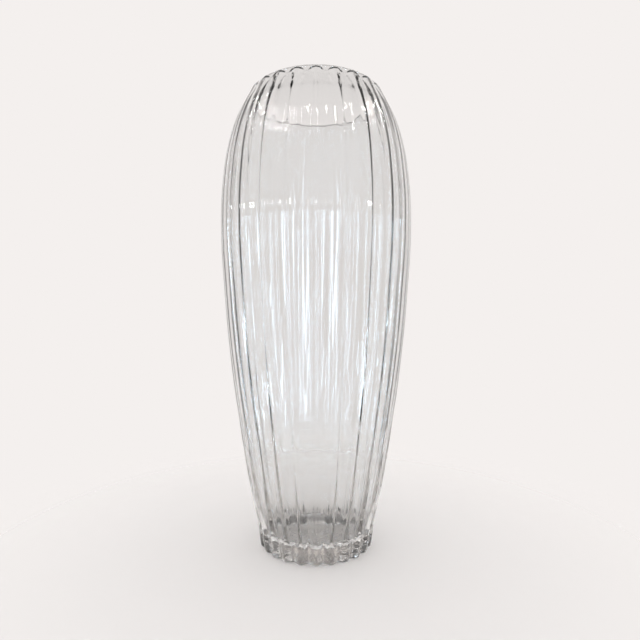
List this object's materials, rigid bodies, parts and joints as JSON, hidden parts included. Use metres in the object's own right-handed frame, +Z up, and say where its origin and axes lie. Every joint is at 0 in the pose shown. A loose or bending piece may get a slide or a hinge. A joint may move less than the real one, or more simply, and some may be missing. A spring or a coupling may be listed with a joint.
{
  "type": "vase",
  "caption": "Tall vase in clear ribbed glass: an egg-shaped body on a thick solid foot, closing in to a round open mouth with a fire-polished lip, for flowers or branches.",
  "frame": {"origin": "centre of the standing ring, on the surface the vase stands on", "axes": "+Z up along the vase's axis, through the middle of the mouth; the middle of one rib faces -Y, the side the picture shows"},
  "size_m": [0.1908, 0.1908, 0.45],
  "materials": {
    "clear_glass": "clear, fire-polished"
  },
  "bodies": {
    "root": {"thick_base": "clear_glass", "ribbed_wall": "clear_glass", "rim_lip": "clear_glass"}
  },
  "joints": []
}
